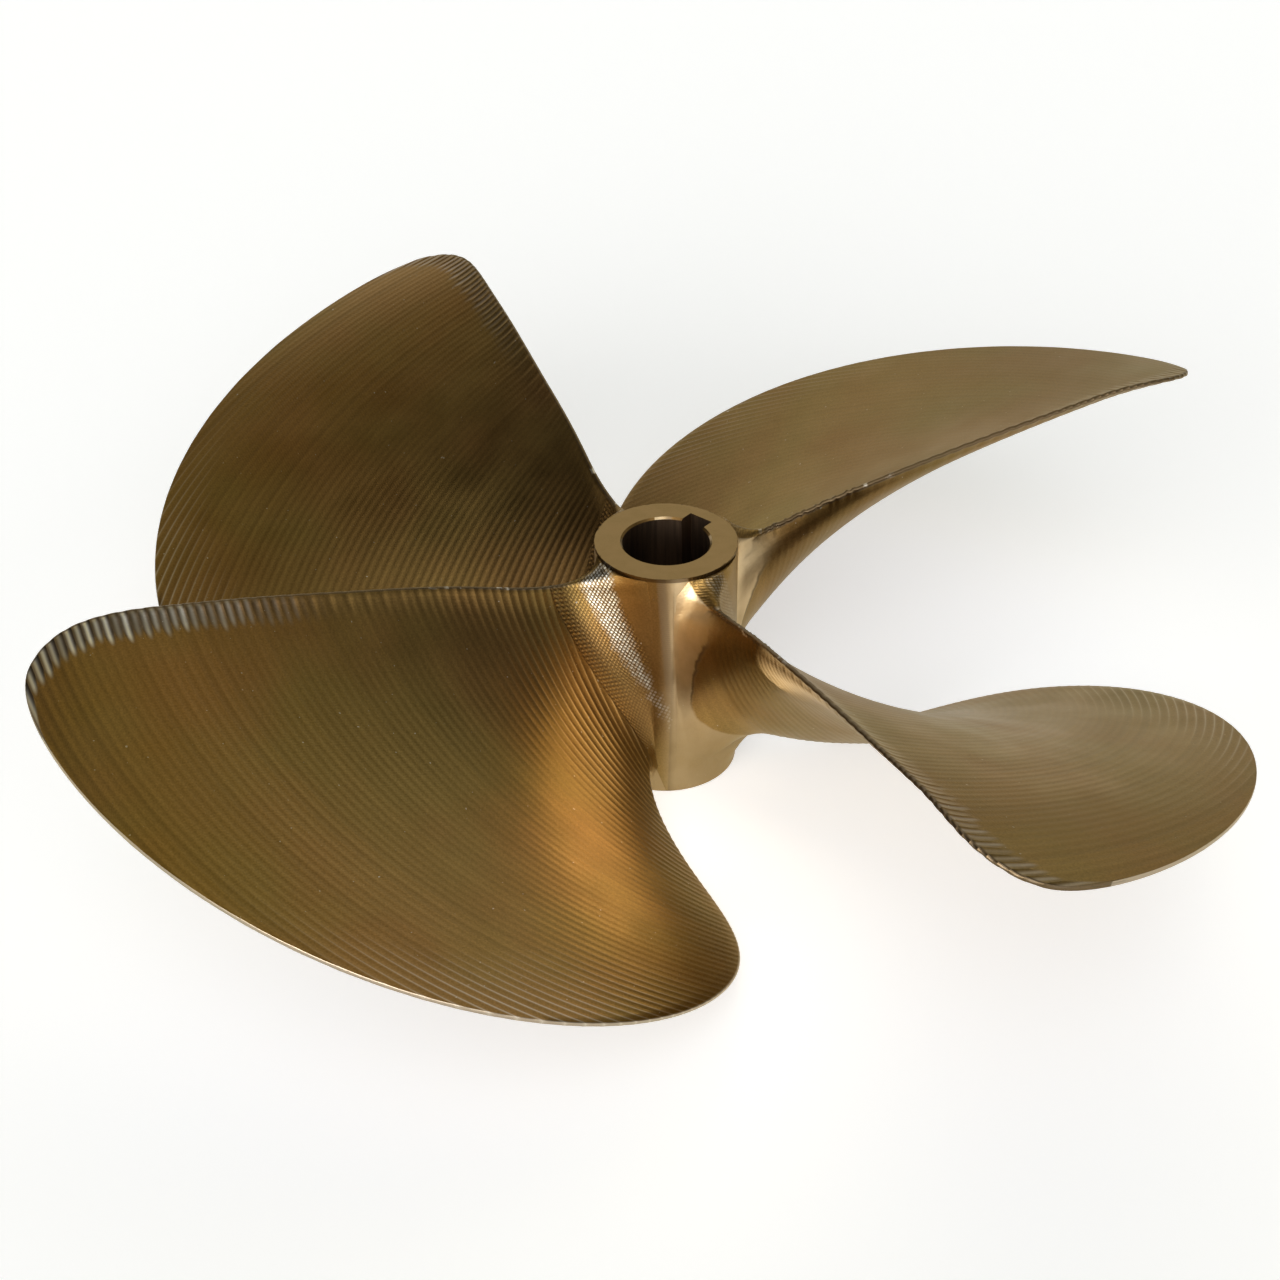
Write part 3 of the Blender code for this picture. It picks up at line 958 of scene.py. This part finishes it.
def measure_surface(propeller):
    """Store on each corner where it lies on its blade, for the finish to read."""
    mesh = propeller.data
    count = len(mesh.loops)
    points = np.empty(len(mesh.vertices) * 3)
    mesh.vertices.foreach_get("co", points)
    points = points.reshape(-1, 3)
    corner = np.empty(count, dtype=np.int32)
    mesh.loops.foreach_get("vertex_index", corner)
    sizes = np.empty(len(mesh.polygons), dtype=np.int32)
    mesh.polygons.foreach_get("loop_total", sizes)
    owner = np.repeat(np.arange(len(sizes)), sizes)
    at = points[corner]
    radius = np.hypot(at[:, 0], at[:, 1])
    centre = np.column_stack([np.bincount(owner, at[:, i]) / sizes for i in range(3)])
    centre_radius = np.hypot(centre[:, 0], centre[:, 1])[owner]
    centre_turn = np.degrees(np.arctan2(centre[:, 1], centre[:, 0]))[owner] - FIRST_BLADE_AZIMUTH
    step = 360.0 / BLADE_COUNT
    split = np.where(centre_radius < 0.030, HUB_STRIP_ANGLE + 12.0, 79.0)
    centre_angle = (centre_turn - split) % step + split - step
    turn = np.degrees(np.arctan2(at[:, 1], at[:, 0])) - FIRST_BLADE_AZIMUTH
    angle = centre_angle + (turn - centre_turn + 180.0) % 360.0 - 180.0

    grid = np.linspace(0.020, TIP_RADIUS, 400)
    edges = np.array([edge_angles(value) for value in grid])
    radians = np.radians(angle)
    slope = np.arctan2(rise_per_radian(radius), np.maximum(radius, 0.001))
    chord = radius / np.cos(slope)
    drop = at[:, 2] - face_height(radius, 0.0)
    along = radius * radians * np.cos(slope) - drop * np.sin(slope)
    blade = np.floor((turn - angle) / step + 0.5).astype(int) % BLADE_COUNT
    values = {
        "blade_angle": angle,
        "from_trailing": along - np.interp(radius, grid, edges[:, 0]) * chord,
        "from_leading": np.interp(radius, grid, edges[:, 1]) * chord - along,
        "above_face": (at[:, 2] - face_height(radius, radians)) * np.cos(slope),
        "along_root": along,
        # Per-blade weights of the painted highlights and of the painted shade at the root
        "freshness_and_highlight": np.array(BLADE_FRESHNESS_AND_HIGHLIGHT)[blade],
        "root_painted_shade": np.array(BLADE_ROOT_PAINTED_SHADE)[blade],
        "pass_contrast": np.array(BLADE_RIDGES)[blade],
    }
    for name, value in values.items():
        layer = mesh.attributes.new(name, "FLOAT", "CORNER")
        layer.data.foreach_set("value", value.astype(np.float32))


def finish_surface(propeller):
    """Give the blades, the turned ring face and the bore their own finish."""
    mesh = propeller.data
    mesh.materials.clear()
    for material in (blade_bronze(), ring_bronze(), bore_bronze()):
        mesh.materials.append(material)
    widest = BORE_AFT_RADIUS + HUB_LENGTH * BORE_TAPER / 2.0 + KEYWAY_DEPTH + 0.0005
    slots = []
    for face in mesh.polygons:
        centre = face.center
        radius = math.hypot(centre.x, centre.y)
        on_top = face.normal.z > 0.9 and centre.z > HUB_LENGTH - 0.0001 and radius < RING_RADIUS
        inside = abs(face.normal.z) < 0.3 and radius < widest and radius < RING_RADIUS - 0.001
        slots.append(1 if on_top else 2 if inside else 0)
    mesh.polygons.foreach_set("material_index", slots)
    mesh.update()


def floor_material():
    """White paper that glows a little, and glows more in a painted pool of light under the propeller,
    which fills in its shadow.
    """
    material = bpy.data.materials.new("pale_floor")
    material.use_nodes = True
    shader = material.node_tree.nodes["Principled BSDF"]
    shader.inputs["Base Color"].default_value = (0.86, 0.86, 0.85, 1.0)
    shader.inputs["Roughness"].default_value = 0.7
    shader.inputs["Specular IOR Level"].default_value = 0.2
    shader.inputs["Emission Color"].default_value = (1.0, 1.0, 1.0, 1.0)
    nodes = Nodes(material.node_tree)
    place = nodes.add("ShaderNodeTexCoord").outputs["Object"]
    near, far = PAINTED_LIGHT_POOL_RANGE
    # Painted pool of light under the propeller
    glow = nodes.span(nodes.length(place), near, far, PAINTED_LIGHT_POOL_GLOW, FLOOR_GLOW, smooth=True)
    nodes.put(shader.inputs["Emission Strength"], glow)
    return material


def plain_floor():
    form = bmesh.new()
    bmesh.ops.create_grid(form, x_segments=1, y_segments=1, size=FLOOR_REACH)
    floor = new_object("studio_floor", form)
    floor.data.materials.append(floor_material())
    floor.location = (0.0, 0.0, FLOOR_DROP)


def plain_backdrop():
    """A pale wall all round, which only the camera sees."""
    form = bmesh.new()
    bmesh.ops.create_cone(
        form,
        segments=96,
        radius1=FLOOR_REACH * 0.95,
        radius2=FLOOR_REACH * 0.95,
        depth=2.0 * FLOOR_REACH,
    )
    wall = new_object("studio_backdrop", form)
    material = bpy.data.materials.new("pale_backdrop")
    material.use_nodes = True
    shader = material.node_tree.nodes["Principled BSDF"]
    shader.inputs["Base Color"].default_value = (0.0, 0.0, 0.0, 1.0)
    shader.inputs["Emission Color"].default_value = (0.9, 0.9, 0.9, 1.0)
    shader.inputs["Emission Strength"].default_value = 1.0
    wall.data.materials.append(material)
    wall.visible_diffuse = False
    wall.visible_glossy = False
    wall.visible_transmission = False
    wall.visible_shadow = False


def soft_light(nodes, azimuth, elevation, colour):
    """Light that comes from one part of the sky and fades softly away from it."""
    turn = math.radians(azimuth)
    lift = math.radians(elevation)
    centre = (math.cos(turn) * math.cos(lift), math.sin(turn) * math.cos(lift), math.sin(lift))
    direction = nodes.add("ShaderNodeTexCoord").outputs["Generated"]
    towards = nodes.dot(direction, centre)
    fall = nodes.math("EXPONENT", nodes.math("MULTIPLY_ADD", towards, LIGHT_FOCUS, -LIGHT_FOCUS))
    return nodes.scale(colour, fall)


def studio_world():
    """Large soft lights in front, overhead and behind, as one smooth sky."""
    world = bpy.data.worlds.new("studio")
    world.use_nodes = True
    nodes = Nodes(world.node_tree)
    total = AMBIENT_LIGHT
    for azimuth, elevation, colour in SOFT_LIGHTS:
        total = nodes.sum(total, soft_light(nodes, azimuth, elevation, colour))
    nodes.put(world.node_tree.nodes["Background"].inputs["Color"], total)
    bpy.context.scene.world = world


def bounce_card():
    """A small warm card between two blades, which lifts the dark corner at their roots."""
    light = bpy.data.lights.new("bounce_card", "AREA")
    light.shape = "RECTANGLE"
    light.size, light.size_y = CARD_SIZE
    light.energy = CARD_WATTS
    light.color = CARD_COLOUR
    item = bpy.data.objects.new("bounce_card", light)
    bpy.context.scene.collection.objects.link(item)
    item.location = CARD_PLACE
    aim = Vector(CARD_TARGET) - Vector(CARD_PLACE)
    item.rotation_euler = aim.to_track_quat("-Z", "Y").to_euler()
    item.visible_camera = False


def add_camera():
    """The photograph's viewing angle, from the outlines of the hub and the blades."""
    down = math.radians(CAMERA_DOWN)
    yaw = math.radians(CAMERA_YAW)
    roll = math.radians(CAMERA_ROLL)
    ahead = Vector((math.sin(yaw) * math.cos(down), math.cos(yaw) * math.cos(down), -math.sin(down)))
    level = Vector((math.cos(yaw), -math.sin(yaw), 0.0))
    upright = level.cross(ahead)
    right = level * math.cos(roll) + upright * math.sin(roll)
    up = right.cross(ahead)
    camera = bpy.data.cameras.new("photo_camera")
    camera.lens = CAMERA_LENS
    camera.sensor_width = SENSOR_WIDTH
    camera.sensor_fit = "HORIZONTAL"
    camera.clip_start = 0.01
    camera.clip_end = 50.0
    item = bpy.data.objects.new("photo_camera", camera)
    bpy.context.scene.collection.objects.link(item)
    turn = Matrix((right, up, -ahead)).transposed().to_4x4()
    item.matrix_world = Matrix.Translation(CAMERA_PLACE) @ turn
    bpy.context.scene.camera = item


def main():
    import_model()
    add_camera()
    propeller = milled_propeller()
    measure_surface(propeller)
    finish_surface(propeller)
    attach(propeller, "root")
    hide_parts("propeller")
    plain_floor()
    plain_backdrop()
    studio_world()
    bounce_card()
    bpy.context.scene.view_settings.view_transform = "Standard"
    bpy.context.view_layer.update()


main()
